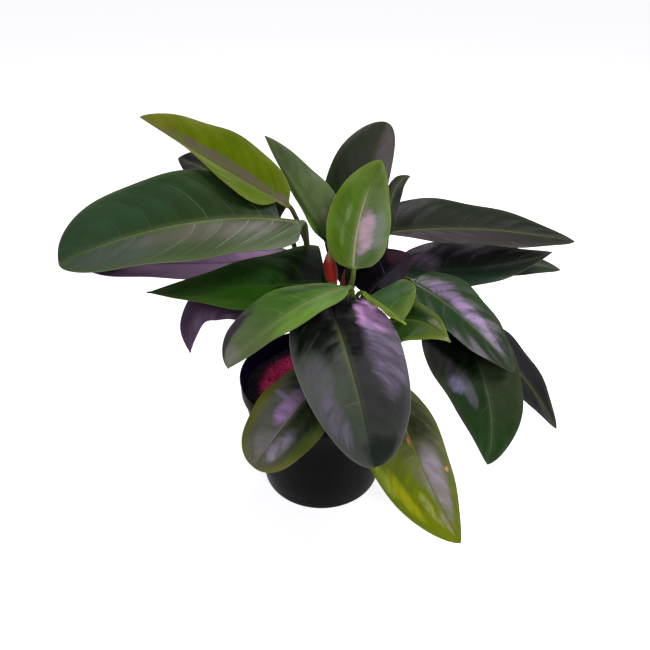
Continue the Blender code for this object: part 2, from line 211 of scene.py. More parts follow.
LEAVES = (
    Leaf("leaf_left_broad", (150, 201), (-16, 17, 295), (-118, -6, 305), (-238, -21, 273),
         (-0.1, -0.35, 0.93), (44, 62), fold=(4, 20), heel=(0.38, 0.4), point=(0.5, 0.38),
         span=((0, 1), (0.12, 1)), lead=0.05),
    Leaf("leaf_back_left_lime", (110, 195), (-29, 21, 310), (-99, 41, 345), (-175, 90, 375),
         (0.1, -0.5, 0.85), (19, 38), fold=(20, 18), twist=20, heel=(0.8, 0.55), point=(3.6, 0.6),
         span=((0.08, 1), (0, 1)), lead=0.05),
    Leaf("leaf_back_left_dark", (165, 145), (-44, 93, 266), (-108, 131, 299), (-157, 150, 315),
         (0, -0.3, 0.95), (40, 40), heel=(0.2, 0.45)),
    Leaf("leaf_left_under", (155, 179), (-21, 28, 255), (-121, 14, 254), (-226, 6, 262),
         (0, -0.1, 1), (29, 45), heel=(0.6, 0.6), point=(0.32, 0.32), lead=0.2),
    Leaf("leaf_left_low", (195, 190), (7, -27, 254), (-78, -30, 253), (-160, -28, 246),
         (0, -0.3, 0.95), (34, 48), heel=(0.4, 0.1), point=(1.1, 1.1)),
    Leaf("leaf_left_drooping", (185, 166), (-45, -5, 207), (-107, -20, 225), (-123, -46, 191),
         (-0.3, -0.3, 0.9), (24, 28), point=(0.95, 0.95)),
    Leaf("leaf_front_left", (290, 172), (26, -37, 256), (-28, -71, 249), (-80, -96, 209),
         (-0.2, -0.5, 0.8), (17, 29), heel=(0.6, 1), point=(0.85, 0.5), lead=0.12),
    Leaf("leaf_front_large", (250, 183), (7, -34, 240), (28, -103, 205), (47, -133, 128),
         (0, -0.6, 0.8), (49, 48), heel=(0.34, 0.34), point=(0.45, 0.62)),
    Leaf("leaf_front_low_left", (262, 147), (7, -43, 171), (-28, -87, 148), (-62, -119, 116),
         (-0.1, -0.5, 0.8), (36, 35), point=(0.45, 0.45)),
    Leaf("leaf_front_low_right", (310, 140), (67, -47, 155), (92, -110, 111), (127, -156, 57),
         (0.2, -0.7, 0.7), (30, 49), point=(0.8, 0.8)),
    Leaf("leaf_right_drooping", (2, 150), (125, 7, 204), (159, -53, 155), (159, -96, 96),
         (0.2, -0.6, 0.7), (40, 51), heel=(0.45, 0.3), point=(0.75, 0.85)),
    Leaf("leaf_right_glossy", (20, 168), (90, 33, 226), (139, -13, 209), (185, -49, 171),
         (0.3, -0.4, 0.85), (38, 32), heel=(0.3, 0.5)),
    Leaf("leaf_young_folded", (330, 201), (39, -41, 252), (55, -62, 252), (74, -76, 241),
         (0.2, -0.5, 0.8), (37, 6), heel=(0.4, 0.5), point=(0.5, 0.7), span=((0.15, 0.92), (0, 1))),
    Leaf("leaf_young_small", (335, 177), (66, -20, 209), (94, -41, 222), (117, -63, 214),
         (0.2, -0.5, 0.8), (20, 38), heel=(0.35, 0.35), point=(1.1, 1.1)),
    Leaf("leaf_right_broad", (54, 192), (66, 76, 259), (161, 79, 262), (269, 81, 247),
         (0.1, -0.3, 0.95), (46, 27), heel=(0.2, 0.9)),
    Leaf("leaf_right_under", (50, 162), (83, 77, 222), (160, 75, 219), (252, 93, 229),
         (0.1, -0.3, 0.9), (38, 32), point=(0.9, 0.9)),
    Leaf("leaf_right_back", (45, 144), (124, 113, 203), (191, 111, 210), (270, 105, 201),
         (0.1, -0.3, 0.9), (28, 28)),
    Leaf("leaf_right_low", (15, 136), (159, 55, 158), (209, 23, 126), (255, -13, 69),
         (0.3, -0.3, 0.9), (30, 30)),
    Leaf("leaf_back_dark", (88, 190), (26, 41, 210), (44, 121, 280), (75, 211, 338),
         (0, -0.8, 0.5), (44, 25), heel=(0.8, 0.6), point=(0.65, 0.45)),
    Leaf("leaf_centre_upright", (60, 204), (31, -1, 255), (39, 42, 294), (60, 84, 334),
         (0.1, -0.9, 0.4), (32, 32), heel=(0.5, 0.42)),
    Leaf("leaf_back_pointed", (105, 203), (6, 37, 268), (-22, 79, 298), (-60, 141, 342),
         (0.3, -0.8, 0.5), (27, 36), fold=(60, 5), heel=(0.12, 0.45)),
    Leaf("leaf_back_small", (35, 179), (67, 51, 265), (75, 88, 299), (93, 108, 309),
         (0.2, -0.6, 0.7), (9, 9)),
    Leaf("leaf_centre_small", (355, 188), (46, 6, 222), (64, 20, 238), (92, 41, 249),
         (0.2, -0.6, 0.7), (30, 18), heel=(0.4, 0.45), point=(0.65, 0.75)),
)


class TintAndLightPatch(NamedTuple):
    """A soft patch of another colour on a blade's upper side."""

    # Many patches are painted sheen, painted highlights and painted shade; the rest are the leaf's
    # own tints
    # Place along the midrib, from 0 to 1, and across, from -1 at the left margin to 1
    along: float
    across: float
    # How far it reaches along and across
    length: float
    width: float
    colour: tuple
    strength: float
    # How deeply the skin between two creases breaks it up
    streaks: float = 0.5


class Finish(NamedTuple):
    """Colours of one leaf, from 0 to 255, chosen against the photograph."""

    # Colours of the left and right half. Where one half is paler, greyer or darker than the other,
    # that is partly painted sheen and painted shade from how each half faces the light
    left: tuple
    right: tuple
    tip: tuple
    rib: tuple
    vein: tuple
    margin: tuple
    # How strongly the side veins show on the left and right half
    veins: tuple = (0.30, 0.30)
    rib_strength: float = 0.70
    # Stretch of the midrib over which its colour stands out
    rib_run: tuple = (-0.1, 1.1)
    # How strongly the margin's colour spreads inwards
    rim: float = 0.22
    # Height in millimetres of the swell between two side veins
    quilt: float = 0.16
    # How rough the upper side is, and how strongly it mirrors
    roughness: float = 0.42
    gloss: float = 0.15
    under: tuple = (74, 42, 58)
    stalk: tuple = (58, 62, 30)
    # Patches of the leaf's own tints, and of painted sheen, painted highlights and painted shade
    flushes: tuple = ()


DARK = Finish(left=(38, 54, 34), right=(36, 52, 36), tip=(34, 52, 28), rib=(84, 98, 50),
              vein=(80, 92, 66), margin=(70, 78, 58))
GREEN = Finish(left=(80, 122, 44), right=(74, 112, 46), tip=(92, 110, 60), rib=(150, 160, 108),
               vein=(118, 146, 80), margin=(122, 146, 60), under=(96, 116, 70), stalk=(90, 108, 44))
LIME = Finish(left=(88, 108, 10), right=(90, 112, 4), tip=(110, 122, 20), rib=(118, 112, 84),
              vein=(122, 136, 44), margin=(120, 126, 62), under=(110, 116, 50), stalk=(72, 66, 40))
PLUM = Finish(left=(98, 76, 104), right=(92, 70, 96), tip=(62, 46, 68), rib=(116, 94, 112),
              vein=(104, 84, 106), margin=(108, 88, 110), under=(74, 44, 66))

# Many patches and half colours below are painted sheen, painted highlights and painted shade,
# beside the leaves' own tints
FINISHES = {
    # The pale left half and its grey patches are painted sheen; the dark patch at the base is
    # painted shade
    "leaf_left_broad": DARK._replace(
        left=(74, 94, 56), right=(42, 67, 28), tip=(60, 86, 56), rib=(116, 134, 78),
        vein=(150, 160, 130), margin=(108, 128, 82), veins=(0.9, 0.2), rib_strength=0.6, quilt=0.4,
        flushes=(TintAndLightPatch(0.45, -0.30, 0.38, 0.34, (102, 98, 86), 0.7),
                 TintAndLightPatch(0.80, -0.50, 0.26, 0.60, (94, 102, 96), 0.6),
                 TintAndLightPatch(0.72, 0.60, 0.30, 0.60, (48, 80, 52), 0.5),
                 TintAndLightPatch(0.12, 0.30, 0.12, 0.90, (26, 42, 16), 0.7))),
    "leaf_back_left_lime": LIME._replace(
        left=(84, 112, 6), rib_strength=0.3, gloss=0.05,
        flushes=(TintAndLightPatch(0.46, 0.15, 0.50, 0.16, (98, 86, 80), 0.85, 0.3),
                 TintAndLightPatch(0.04, 0.10, 0.08, 0.50, (112, 90, 100), 0.7),
                 TintAndLightPatch(0.92, 0.00, 0.12, 1.20, (116, 112, 50), 0.5))),
    "leaf_back_left_dark": DARK._replace(
        left=(24, 40, 16), right=(30, 34, 30), tip=(30, 30, 34), gloss=0.08),
    # The near-black patch at the tip is painted shade
    "leaf_left_under": PLUM._replace(
        left=(164, 136, 168), right=(150, 122, 156), tip=(108, 86, 114),
        flushes=(TintAndLightPatch(0.57, -0.40, 0.25, 0.50, (150, 124, 156), 0.7),
                 TintAndLightPatch(0.92, -0.40, 0.16, 1.20, (16, 12, 20), 0.97, 0.2))),
    # The near-black patch at the base is painted shade
    "leaf_left_low": DARK._replace(
        left=(38, 80, 12), right=(32, 66, 18), tip=(54, 78, 40), rib=(50, 84, 28),
        vein=(56, 90, 34), margin=(60, 102, 22), rib_strength=0.5, quilt=0.3, roughness=0.5,
        gloss=0.06,
        flushes=(TintAndLightPatch(0.60, -0.80, 0.35, 0.26, (60, 88, 30), 0.6),
                 TintAndLightPatch(0.92, 0.00, 0.08, 0.80, (92, 88, 90), 0.6),
                 TintAndLightPatch(0.06, 0.30, 0.28, 1.60, (4, 8, 2), 0.98, 0.1))),
    "leaf_left_drooping": PLUM._replace(
        left=(126, 106, 130), right=(106, 86, 110),
        flushes=(TintAndLightPatch(0.62, -0.40, 0.20, 0.60, (146, 120, 152), 0.6),
                 TintAndLightPatch(0.30, -0.80, 0.24, 0.40, (30, 22, 32), 0.8))),
    # The dark patches near the base are painted shade; the lavender-grey tip is painted sheen
    "leaf_front_left": GREEN._replace(
        left=(92, 132, 50), right=(68, 108, 36), tip=(108, 116, 88), rib=(124, 142, 78),
        margin=(96, 122, 60), rib_strength=0.4, gloss=0.08, quilt=0.3,
        flushes=(TintAndLightPatch(0.46, -0.75, 0.34, 0.40, (120, 162, 60), 0.6),
                 TintAndLightPatch(0.28, 0.78, 0.24, 0.36, (30, 60, 16), 0.85),
                 TintAndLightPatch(0.08, 0.30, 0.12, 1.00, (44, 66, 26), 0.6),
                 TintAndLightPatch(0.96, 0.10, 0.10, 0.80, (140, 134, 136), 0.6),
                 TintAndLightPatch(0.86, 0.92, 0.26, 0.30, (56, 36, 68), 1.0, 0))),
    # The near-black patches at the base and the tip are painted shade, the bright lavender patch is
    # a painted highlight and the grey-lavender ones are painted sheen; the thin pale mark is a
    # scratch
    "leaf_front_large": DARK._replace(
        left=(66, 67, 66), right=(74, 84, 70), tip=(50, 58, 48), rib=(96, 108, 62),
        vein=(88, 92, 84), margin=(130, 130, 128), rib_run=(0.10, 0.84), rib_strength=0.55,
        veins=(0.30, 0.22), rim=0.12, roughness=0.42, gloss=0.04, quilt=0.35,
        flushes=(TintAndLightPatch(0.02, 0.00, 0.15, 1.60, (2, 4, 2), 0.98, 0),
                 TintAndLightPatch(0.14, 0.52, 0.30, 0.80, (2, 8, 1), 0.97, 0.05),
                 TintAndLightPatch(0.24, -0.22, 0.20, 0.32, (16, 18, 16), 0.9, 0.2),
                 TintAndLightPatch(0.19, -0.82, 0.14, 0.42, (250, 188, 255), 1.0, 0.1),
                 TintAndLightPatch(0.40, -0.72, 0.28, 0.42, (124, 114, 136), 0.85, 0.6),
                 TintAndLightPatch(0.46, 0.66, 0.18, 0.34, (90, 90, 94), 0.7, 0.3),
                 TintAndLightPatch(0.70, 0.66, 0.22, 0.34, (102, 96, 112), 0.75, 0.6),
                 TintAndLightPatch(0.93, -0.40, 0.13, 0.80, (20, 30, 20), 0.9, 0.1),
                 TintAndLightPatch(0.64, 0.20, 0.008, 0.30, (112, 114, 84), 0.22))),
    # The lavender and pale grey patches are painted sheen and painted highlights
    "leaf_front_low_left": DARK._replace(
        left=(80, 92, 64), right=(112, 116, 104), tip=(112, 114, 84), rib=(160, 150, 152),
        vein=(116, 112, 118), margin=(108, 112, 36), rim=0.8, roughness=0.4, gloss=0.12,
        flushes=(TintAndLightPatch(0.44, 0.22, 0.24, 0.26, (196, 152, 214), 0.9, 0.5),
                 TintAndLightPatch(0.40, 0.50, 0.035, 0.36, (176, 152, 210), 0.6, 0.1),
                 TintAndLightPatch(0.78, 0.20, 0.14, 0.40, (140, 138, 142), 0.7, 0.5),
                 TintAndLightPatch(0.74, -0.34, 0.20, 0.30, (176, 166, 186), 0.95, 0.5),
                 TintAndLightPatch(0.58, -0.84, 0.30, 0.22, (88, 122, 40), 0.7, 0.2),
                 TintAndLightPatch(0.56, 0.86, 0.30, 0.22, (122, 126, 30), 0.7, 0.2),
                 TintAndLightPatch(0.42, -0.42, 0.26, 0.50, (28, 44, 20), 0.85),
                 TintAndLightPatch(0.18, 0.45, 0.16, 0.50, (36, 46, 30), 0.8))),
    # The grey patches are painted sheen and the dark patch near the base is painted shade; the
    # orange spots are the leaf's own
    "leaf_front_low_right": LIME._replace(
        left=(98, 102, 70), right=(92, 108, 0), tip=(118, 134, 12), rib=(96, 102, 40),
        margin=(92, 110, 16), rim=0.4, roughness=0.42, gloss=0.07,
        flushes=(TintAndLightPatch(0.62, -0.30, 0.30, 0.46, (148, 140, 150), 0.95, 0.35),
                 TintAndLightPatch(0.52, 0.16, 0.14, 0.16, (100, 98, 80), 0.6),
                 TintAndLightPatch(0.22, -0.20, 0.28, 1.10, (30, 40, 14), 0.95, 0.2),
                 TintAndLightPatch(0.44, 0.50, 0.14, 0.30, (74, 86, 0), 0.7, 0.2),
                 TintAndLightPatch(0.64, 0.72, 0.20, 0.16, (160, 164, 10), 0.6),
                 TintAndLightPatch(0.76, 0.34, 0.14, 0.14, (160, 164, 96), 0.55, 0.7),
                 TintAndLightPatch(0.86, 0.10, 0.10, 0.16, (150, 142, 140), 0.6),
                 TintAndLightPatch(0.49, 0.88, 0.16, 0.10, (146, 168, 60), 0.6),
                 TintAndLightPatch(0.59, -0.80, 0.02, 0.09, (224, 150, 66), 0.9),
                 TintAndLightPatch(0.36, 0.05, 0.035, 0.04, (180, 92, 70), 0.8))),
    # The lavender patches are painted sheen; the near-black patch is painted shade
    "leaf_right_drooping": DARK._replace(
        left=(46, 60, 34), right=(30, 50, 24), tip=(34, 66, 22), rib=(80, 96, 66),
        rib_run=(0.3, 1.1), veins=(0.2, 0.2), gloss=0.07, quilt=0.35,
        flushes=(TintAndLightPatch(0.44, 0.66, 0.09, 0.20, (116, 114, 146), 0.8, 0.35),
                 TintAndLightPatch(0.50, 0.46, 0.14, 0.18, (92, 92, 102), 0.7, 0.35),
                 TintAndLightPatch(0.20, 0.40, 0.26, 1.00, (6, 10, 5), 0.92, 0.1))),
    # The lavender streaks are painted sheen
    "leaf_right_glossy": DARK._replace(
        left=(38, 64, 28), right=(30, 58, 22), rib=(80, 98, 66), quilt=0.4, roughness=0.36,
        gloss=0.25,
        flushes=(TintAndLightPatch(0.24, -0.35, 0.16, 0.34, (126, 108, 140), 0.8, 0.85),
                 TintAndLightPatch(0.50, -0.26, 0.22, 0.28, (144, 124, 160), 0.9, 0.85),
                 TintAndLightPatch(0.75, -0.14, 0.16, 0.22, (126, 114, 140), 0.8, 0.85))),
    "leaf_young_folded": GREEN._replace(
        left=(48, 82, 36), right=(84, 112, 30), margin=(136, 158, 40), tip=(96, 122, 36),
        rib=(96, 124, 48), rim=0.12, gloss=0.08,
        flushes=(TintAndLightPatch(0.97, 0.00, 0.08, 0.80, (170, 180, 56), 0.8),
                 TintAndLightPatch(0.45, -0.30, 0.20, 0.30, (72, 104, 66), 0.5))),
    # The pale patches are painted sheen; the dark patch at the base is painted shade
    "leaf_young_small": GREEN._replace(
        left=(28, 58, 12), right=(44, 78, 16), tip=(96, 112, 44), rib=(76, 100, 36),
        vein=(70, 98, 32), margin=(104, 128, 30), rim=0.4, gloss=0.08,
        flushes=(TintAndLightPatch(0.66, -0.35, 0.16, 0.30, (150, 152, 124), 0.7),
                 TintAndLightPatch(0.98, 0.00, 0.10, 0.90, (176, 172, 128), 0.7),
                 TintAndLightPatch(0.10, -0.40, 0.26, 0.90, (10, 22, 6), 0.85))),
    # The grey right half and its patch are painted sheen; the dark patch at the base is painted
    # shade
    "leaf_right_broad": DARK._replace(
        left=(29, 42, 23), right=(54, 53, 48), tip=(38, 46, 32), rib=(82, 92, 42),
        veins=(0.10, 0.10), gloss=0.1, quilt=0.3,
        flushes=(TintAndLightPatch(0.42, 0.50, 0.34, 0.50, (62, 58, 58), 0.5),
                 TintAndLightPatch(0.08, -0.30, 0.12, 1.00, (14, 20, 10), 0.7))),
    # The lavender patch is painted sheen; the near-black patch is painted shade
    "leaf_right_under": DARK._replace(
        left=(26, 38, 26), right=(30, 60, 38), rib=(48, 64, 38),
        flushes=(TintAndLightPatch(0.20, -0.20, 0.14, 0.45, (124, 112, 136), 0.7),
                 TintAndLightPatch(0.60, -0.60, 0.50, 0.50, (3, 4, 3), 0.9))),
    "leaf_right_back": DARK,
    "leaf_right_low": DARK._replace(left=(30, 32, 30), right=(28, 30, 28), tip=(26, 28, 26)),
    # The grey right half and its patch are painted sheen; the near-black base is painted shade
    "leaf_back_dark": DARK._replace(
        left=(22, 36, 12), right=(76, 73, 68), tip=(44, 52, 36), rib=(54, 62, 38),
        veins=(0.14, 0.14), gloss=0.05,
        flushes=(TintAndLightPatch(0.80, 0.55, 0.30, 0.55, (80, 75, 73), 0.8, 0.1),
                 TintAndLightPatch(0.10, 0.00, 0.26, 1.60, (4, 4, 4), 0.97))),
    # The pink, grey and pale green patches are painted sheen
    "leaf_centre_upright": GREEN._replace(
        left=(70, 104, 6), right=(84, 106, 64), tip=(78, 106, 26), rib=(156, 154, 122), gloss=0.05,
        rib_run=(-0.1, 0.85),
        flushes=(TintAndLightPatch(0.40, 0.62, 0.22, 0.34, (122, 134, 122), 0.6, 0.3),
                 TintAndLightPatch(0.48, -0.40, 0.12, 0.10, (126, 148, 90), 0.4),
                 TintAndLightPatch(0.26, -0.48, 0.10, 0.10, (122, 146, 84), 0.35),
                 TintAndLightPatch(0.35, 0.27, 0.27, 0.32, (176, 150, 164), 0.95, 0.2),
                 TintAndLightPatch(0.08, 0.60, 0.10, 0.50, (62, 92, 30), 0.5))),
    # The dark left half is painted shade
    "leaf_back_pointed": GREEN._replace(
        left=(32, 58, 14), right=(80, 102, 52), tip=(56, 76, 36), rib=(84, 102, 50),
        vein=(86, 108, 56), margin=(90, 110, 54), gloss=0.12,
        flushes=(TintAndLightPatch(0.18, -0.70, 0.14, 0.60, (64, 102, 22), 0.8),
                 TintAndLightPatch(0.50, 0.20, 0.30, 0.12, (52, 80, 24), 0.5),
                 TintAndLightPatch(0.20, 0.42, 0.16, 0.26, (124, 122, 92), 0.7, 0.7))),
    "leaf_back_small": DARK._replace(
        left=(20, 24, 18), right=(24, 28, 22), tip=(30, 34, 30), gloss=0.05,
        flushes=(TintAndLightPatch(0.60, 0.20, 0.20, 0.30, (58, 58, 62), 0.5),)),
    # The near-black left half and base are painted shade
    "leaf_centre_small": PLUM._replace(
        left=(3, 3, 4), right=(44, 42, 48), tip=(34, 30, 36), margin=(66, 36, 42), rib=(46, 44, 50),
        gloss=0.02, rib_strength=0.4, rim=0.1,
        flushes=(TintAndLightPatch(0.12, 0.00, 0.26, 1.60, (3, 3, 3), 1.0, 0),
                 TintAndLightPatch(0.80, -0.40, 0.16, 0.40, (60, 30, 40), 0.6))),
}


# Shader maths


def paint(red, green, blue):
    """A colour from 0 to 255 as the renderer's linear red, green, blue and alpha."""
    shares = [value / 255 for value in (red, green, blue)]
    linear = [s / 12.92 if s < 0.04045 else ((s + 0.055) / 1.055) ** 2.4 for s in shares]
    return (*linear, 1)


class Field:
    """A socket that holds a number, for plain expressions."""

    def __init__(self, maker, socket):
        self.maker = maker
        self.socket = socket

    def __add__(self, other):
        return self.maker.maths("ADD", self, other)

    def __sub__(self, other):
        return self.maker.maths("SUBTRACT", self, other)

    def __rsub__(self, other):
        return self.maker.maths("SUBTRACT", other, self)

    def __mul__(self, other):
        return self.maker.maths("MULTIPLY", self, other)

    def __truediv__(self, other):
        return self.maker.maths("DIVIDE", self, other)

    def __abs__(self):
        return self.maker.maths("ABSOLUTE", self)

    __radd__ = __add__
    __rmul__ = __mul__


class Maker:
    """Adds nodes to one tree."""

    def __init__(self, tree):
        self.tree = tree

    def node(self, kind, settings=None, values=None):
        """A node of any type, its settings first and then its sockets' values or links."""
        node = self.tree.nodes.new(kind)
        for name, setting in (settings or {}).items():
            setattr(node, name, setting)
        for key, value in (values or {}).items():
            self.plug(node.inputs[key], value)
        return node

    def plug(self, socket, value):
        """Link a field or a socket, or set a plain value."""
        if isinstance(value, Field):
            value = value.socket
        if isinstance(value, bpy.types.NodeSocket):
            self.tree.links.new(value, socket)
        else:
            socket.default_value = value

    def maths(self, operation, *values):
        """One Math node."""
        node = self.node("ShaderNodeMath", {"operation": operation}, dict(enumerate(values)))
        return Field(self, node.outputs[0])

    def spot(self, *parts):
        """A place built from up to three numbers."""
        return self.node("ShaderNodeCombineXYZ", None, dict(enumerate(parts))).outputs[0]


class Skin(Maker):
    """Builds one material from a Principled shader."""

    def __init__(self, name):
        self.material = bpy.data.materials.new(name)
        self.material.use_nodes = True
        super().__init__(self.material.node_tree)
        self.shader = self.tree.nodes["Principled BSDF"]

    def attribute(self, name):
        """A number kept on the mesh."""
        node = self.node("ShaderNodeAttribute", {"attribute_name": name})
        return Field(self, node.outputs["Fac"])

    def step(self, field, low, high):
        """Ease from 0 to 1 as the field goes from low to high."""
        settings = {"interpolation_type": "SMOOTHSTEP"}
        values = {"Value": field, "From Min": low, "From Max": high}
        return Field(self, self.node("ShaderNodeMapRange", settings, values).outputs["Result"])

    def vein_line(self, phase, width):
        """One where the phase is a whole number, easing to 0 at the given distance from it."""
        distance = abs(self.maths("FRACT", phase + 0.5) - 0.5)
        return 1 - self.step(distance / width, 0.25, 1.0)

    def noise(self, place, scale, detail=3, roughness=0.55):
        """Soft random mottling from 0 to 1."""
        values = {"Vector": place, "Scale": scale, "Detail": detail, "Roughness": roughness}
        return Field(self, self.node("ShaderNodeTexNoise", None, values).outputs["Fac"])

    def mix(self, share, first, second):
        """One colour over another, through the Mix node's two colour sockets."""
        values = {0: share, 6: first, 7: second}
        return self.node("ShaderNodeMix", {"data_type": "RGBA"}, values).outputs[2]

    def shade(self, colour, amount):
        """A colour made lighter or darker by a factor."""
        grey = self.spot(amount, amount, amount)
        values = {0: colour[:3] if isinstance(colour, tuple) else colour, 1: grey}
        return self.node("ShaderNodeVectorMath", {"operation": "MULTIPLY"}, values).outputs[0]

    def place(self):
        """The point's place on the object, in metres."""
        return self.node("ShaderNodeTexCoord").outputs["Object"]

    def bump(self, height, distance, strength):
        """Fine relief."""
        values = {"Height": height, "Distance": distance, "Strength": strength}
        return self.node("ShaderNodeBump", None, values).outputs["Normal"]

    def finish(self, **sockets):
        """Set the shader's sockets, named with underscores for spaces."""
        for name, value in sockets.items():
            self.plug(self.shader.inputs[name.replace("_", " ")], value)
        return self.material


class Shape(Maker):
    """Builds one tree of geometry nodes with named sizes."""

    def __init__(self, name, sizes):
        super().__init__(bpy.data.node_groups.new(name, "GeometryNodeTree"))
        sockets = self.tree.interface
        sockets.new_socket("Ground", in_out="INPUT", socket_type="NodeSocketGeometry")
        for size in sizes:
            sockets.new_socket(size, in_out="INPUT", socket_type="NodeSocketFloat")
        sockets.new_socket("Made", in_out="OUTPUT", socket_type="NodeSocketGeometry")
        self.sizes = sizes
        self.start = self.node("NodeGroupInput")

    def size(self, name):
        """A named size of the tree."""
        return Field(self, self.start.outputs[name])

    def run(self, item, geometry, material):
        """Close the tree, run it on an object and keep what it makes as a plain mesh."""
        solid = self.node("GeometryNodeRealizeInstances", None, {"Geometry": geometry}).outputs[0]
        values = {"Geometry": solid, "Material": material}
        finish = self.node("GeometryNodeSetMaterial", None, values).outputs[0]
        self.node("NodeGroupOutput", None, {"Made": finish})
        maker = item.modifiers.new("maker", "NODES")
        maker.node_group = self.tree
        for socket in self.tree.interface.items_tree:
            if socket.name in self.sizes:
                maker[socket.identifier] = float(self.sizes[socket.name])
        view = bpy.context.evaluated_depsgraph_get()
        made = bpy.data.meshes.new_from_object(item.evaluated_get(view))
        item.modifiers.clear()
        item.data = made


class LeafSkin(Skin):
    """The skin of one leaf, laid on coat by coat."""

    def __init__(self, leaf, look):
        super().__init__(f"{leaf.node}_skin")
        self.look = look
        self.along = self.attribute("along")
        self.offset = self.attribute("offset")
        self.across = self.attribute("across")
        self.edge = abs(self.across)
        self.phase = self.attribute("phase")
        place = self.place()
        self.cloud = self.noise(place, 24, 4)
        self.mottle = self.noise(place, 75, 5)
        self.fine = self.noise(place, 420, 3)
        # Streaks run beside the side veins, so they are drawn on the veins' own numbers
        soft = self.spot(self.phase * 2.6, self.across * 1.6, leaf.root[1])
        self.streak = self.noise(soft, 1, 4, 0.6)
        sharp = self.spot(self.phase * 2.2, self.across * 2.0, leaf.root[0])
        self.crisp = self.step(self.noise(sharp, 1, 3, 0.6), 0.38, 0.60)
        self.lines = self.vein_lines(leaf.root[0])

    def vein_lines(self, seed):
        """The side veins, some plain and some faint, with finer ones between them."""
        rank = self.maths("FLOOR", self.phase + 0.5)
        picked = self.step(self.noise(self.spot(rank * 3.7, seed), 1, 0), 0.34, 0.58)
        width = 0.018 + 0.026 * (1 - self.edge)
        main = self.vein_line(self.phase, width) * (0.15 + 0.85 * picked)
        between = self.vein_line(self.phase * 4 + 0.5, 0.2) * 0.05
        inward = self.step(self.edge, 0.02, 0.10) * (1 - self.step(self.edge, 0.70, 0.98))
        before_tip = 1 - self.step(self.along, 0.86, 0.97)
        return (main + between * (1 - main)) * inward * before_tip

    def blade_coat(self):
        """The two halves and the tip, streaked, with the side veins fading to the tip."""
        look = self.look
        side = self.step(self.offset, -1.0, 1.0)
        halves = self.mix(side, paint(*look.left), paint(*look.right))
        coat = self.mix(self.step(self.along, 0.45, 1.0) * 0.85, halves, paint(*look.tip))
        # The streaks lighten and darken the skin between the side veins, partly as painted sheen
        # and painted shade; the cloud and mottle are its own uneven tone
        coat = self.shade(coat, 0.22 + 0.42 * self.cloud + 0.30 * self.mottle + 0.52 * self.streak)
        fading = 1 - 0.75 * self.step(self.along, 0.35, 0.90)
        veins = look.veins[0] + side * (look.veins[1] - look.veins[0])
        shown = self.lines * veins * fading * (0.35 + 1.3 * self.cloud)
        return self.mix(shown, coat, paint(*look.vein))

    def tint_and_light_patch_coat(self, coat, flush):
        """A soft patch with a ragged edge, broken up by streaks."""
        run = (self.along - flush.along) / flush.length
        spread = (self.across - flush.across) / flush.width
        ragged = 1.6 * (self.streak - 0.5) + 0.6 * (self.mottle - 0.5)
        mask = 1 - self.step(run * run + spread * spread + ragged, 0.05, 1.05)
        streaked = 1 - (1 - self.crisp) * flush.streaks
        return self.mix(mask * streaked * flush.strength, coat, paint(*flush.colour))

    def midrib_coat(self, coat):
        """The pale midrib, narrower towards the tip, and a faint halo beside it."""
        start, stop = self.look.rib_run
        shown = self.step(self.along, start, start + 0.2)
        shown = shown * (1 - self.step(self.along, stop - 0.3, stop))
        beside = abs(self.offset)
        halo = (1 - self.step(beside, 1.0, 6.0)) * 0.2
        rib = 1 - self.step(beside / (1.5 - 1.0 * self.along), 0.45, 1.10)
        rib = rib * self.look.rib_strength
        return self.mix((halo + rib * (1 - halo)) * shown, coat, paint(*self.look.rib))

    def margin_coat(self, coat):
        """The thin edge, and its colour spreading inwards."""
        inset = self.attribute("inset")
        thin = (1 - self.step(inset, 0.25, 0.9)) * 0.6 * (0.4 + self.cloud)
        wide = (1 - self.step(inset, 0.8, 9.0)) * self.look.rim
        return self.mix(thin + wide * (1 - thin), coat, paint(*self.look.margin))

    def underside(self):
        """The underside, with its midrib and side veins."""
        look = self.look
        rib = (1 - self.step(abs(self.offset), 2.0, 4.5)) * 0.6
        coat = self.mix(rib, paint(*look.under), paint(*look.rib))
        coat = self.mix(self.lines * 0.35, coat, paint(*look.vein))
        return self.shade(coat, 0.65 + 0.6 * self.mottle)


def leaf_material(leaf, look):
    """The upper side's coats over the underside, the stalk, and a fine relief."""
    m = LeafSkin(leaf, look)
    coat = m.blade_coat()
    # Lay on the leaf's own tints and its painted sheen, painted highlights and painted shade
    for flush in look.flushes:
        coat = m.tint_and_light_patch_coat(coat, flush)
    coat = m.margin_coat(m.midrib_coat(coat))
    top = m.step(m.attribute("upper"), 0.35, 0.65)
    blade = m.mix(top, m.underside(), coat)
    stalk = m.shade(paint(*look.stalk), 0.5 + 0.8 * m.mottle)
    relief = 0.5 * m.fine + 0.7 * m.mottle + 0.6 * m.streak - 0.9 * m.lines
    return m.finish(
        Base_Color=m.mix(m.step(m.along, -0.03, 0.02), stalk, blade),
        Roughness=look.roughness - 0.07 + 0.14 * m.mottle + 0.12 * (1 - top),
        Normal=m.bump(relief, 0.00022, 0.7),
        Specular_IOR_Level=look.gloss,
        Specular_Tint=LEAF_SHEEN,
    )


# Meshes


def make_mesh(name, points, faces, smooth_angle=40):
    """A mesh in metres from points in millimetres."""
    mesh = bpy.data.meshes.new(name)
    mesh.from_pydata((np.asarray(points, float) * MM).tolist(), [], [tuple(f) for f in faces])
    mesh.shade_smooth()
    mesh.set_sharp_from_angle(angle=math.radians(smooth_angle))
    item = bpy.data.objects.new(name, mesh)
    bpy.context.scene.collection.objects.link(item)
    return item


def add_attribute(item, name, values):
    """Keep one number for each point of a mesh."""
    layer = item.data.attributes.new(name, "FLOAT", "POINT")
    layer.data.foreach_set("value", np.asarray(values, dtype=np.float32).ravel())


def stand_for(item, *nodes):
    """Let a finished piece ride with the plant and take the place of its plain solids."""
    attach(item, "root")
    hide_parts(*nodes)


